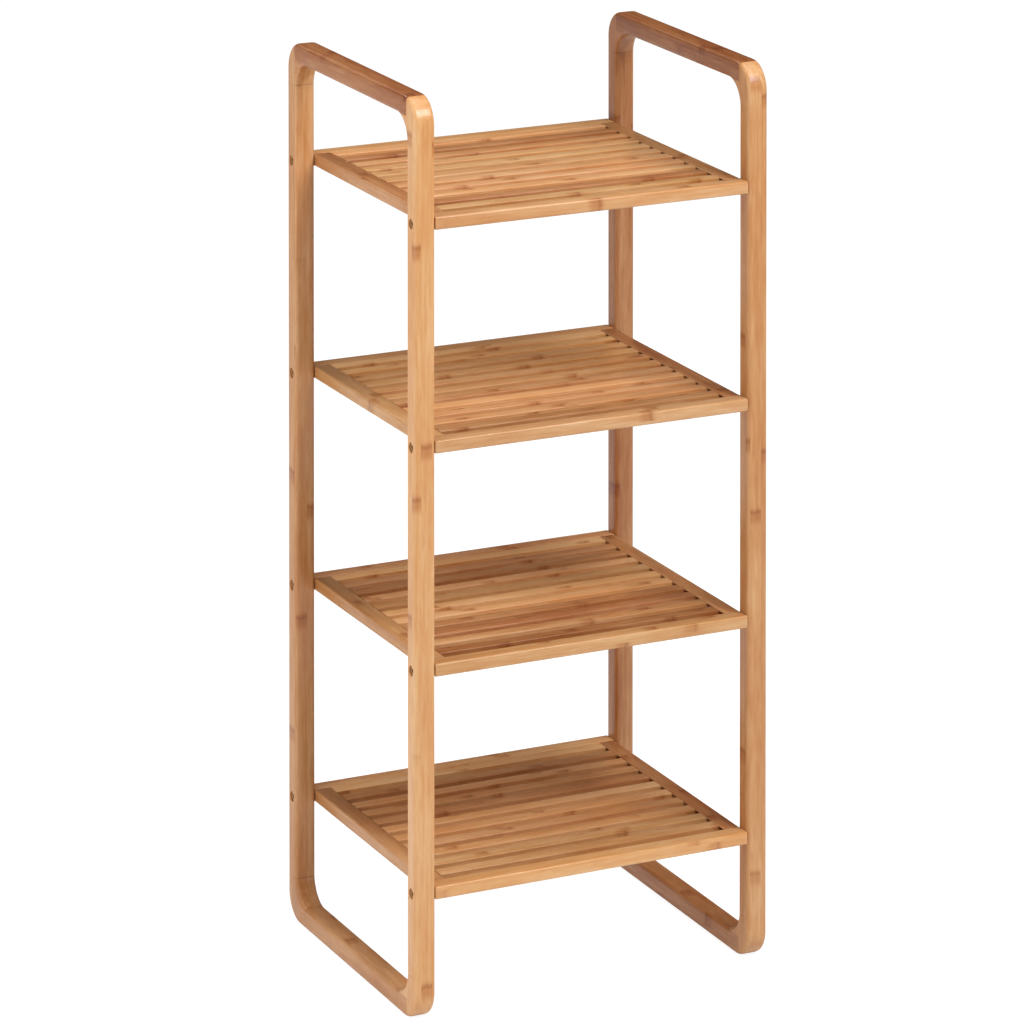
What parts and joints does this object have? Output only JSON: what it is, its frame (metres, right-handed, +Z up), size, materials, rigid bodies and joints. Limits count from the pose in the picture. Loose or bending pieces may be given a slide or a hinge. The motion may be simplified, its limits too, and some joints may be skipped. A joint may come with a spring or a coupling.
{
  "type": "tiered shoe rack",
  "caption": "Narrow bamboo shoe rack with slatted shelves between two rounded rectangular side loops.",
  "frame": {"origin": "on the floor, under the middle of the rack", "axes": "+X to the right seen from the front, +Y from the front to the back, +Z up"},
  "size_m": [0.386, 0.314, 0.9],
  "materials": {
    "loop_bamboo": "satin",
    "rail_bamboo": "satin",
    "slat_bamboo": "satin",
    "screw_bronze": "satin"
  },
  "bodies": {
    "root": {"left_front_upright": "loop_bamboo", "left_back_upright": "loop_bamboo", "left_top_rail": "loop_bamboo", "left_bottom_rail": "loop_bamboo", "left_top_front_corner": "loop_bamboo", "left_top_back_corner": "loop_bamboo", "left_bottom_front_corner": "loop_bamboo", "left_bottom_back_corner": "loop_bamboo", "right_front_upright": "loop_bamboo", "right_back_upright": "loop_bamboo", "right_top_rail": "loop_bamboo", "right_bottom_rail": "loop_bamboo", "right_top_front_corner": "loop_bamboo", "right_top_back_corner": "loop_bamboo", "right_bottom_front_corner": "loop_bamboo", "right_bottom_back_corner": "loop_bamboo", "shelf_1_front_rail": "rail_bamboo", "shelf_1_back_rail": "rail_bamboo", "shelf_1_left_rail": "rail_bamboo", "shelf_1_right_rail": "rail_bamboo", "shelf_1_slats": "slat_bamboo", "shelf_1_screw_left_front": "screw_bronze", "shelf_1_screw_left_back": "screw_bronze", "shelf_1_screw_right_front": "screw_bronze", "shelf_1_screw_right_back": "screw_bronze", "shelf_2_front_rail": "rail_bamboo", "shelf_2_back_rail": "rail_bamboo", "shelf_2_left_rail": "rail_bamboo", "shelf_2_right_rail": "rail_bamboo", "shelf_2_slats": "slat_bamboo", "shelf_2_screw_left_front": "screw_bronze", "shelf_2_screw_left_back": "screw_bronze", "shelf_2_screw_right_front": "screw_bronze", "shelf_2_screw_right_back": "screw_bronze", "shelf_3_front_rail": "rail_bamboo", "shelf_3_back_rail": "rail_bamboo", "shelf_3_left_rail": "rail_bamboo", "shelf_3_right_rail": "rail_bamboo", "shelf_3_slats": "slat_bamboo", "shelf_3_screw_left_front": "screw_bronze", "shelf_3_screw_left_back": "screw_bronze", "shelf_3_screw_right_front": "screw_bronze", "shelf_3_screw_right_back": "screw_bronze", "shelf_4_front_rail": "rail_bamboo", "shelf_4_back_rail": "rail_bamboo", "shelf_4_left_rail": "rail_bamboo", "shelf_4_right_rail": "rail_bamboo", "shelf_4_slats": "slat_bamboo", "shelf_4_screw_left_front": "screw_bronze", "shelf_4_screw_left_back": "screw_bronze", "shelf_4_screw_right_front": "screw_bronze", "shelf_4_screw_right_back": "screw_bronze"}
  },
  "joints": []
}
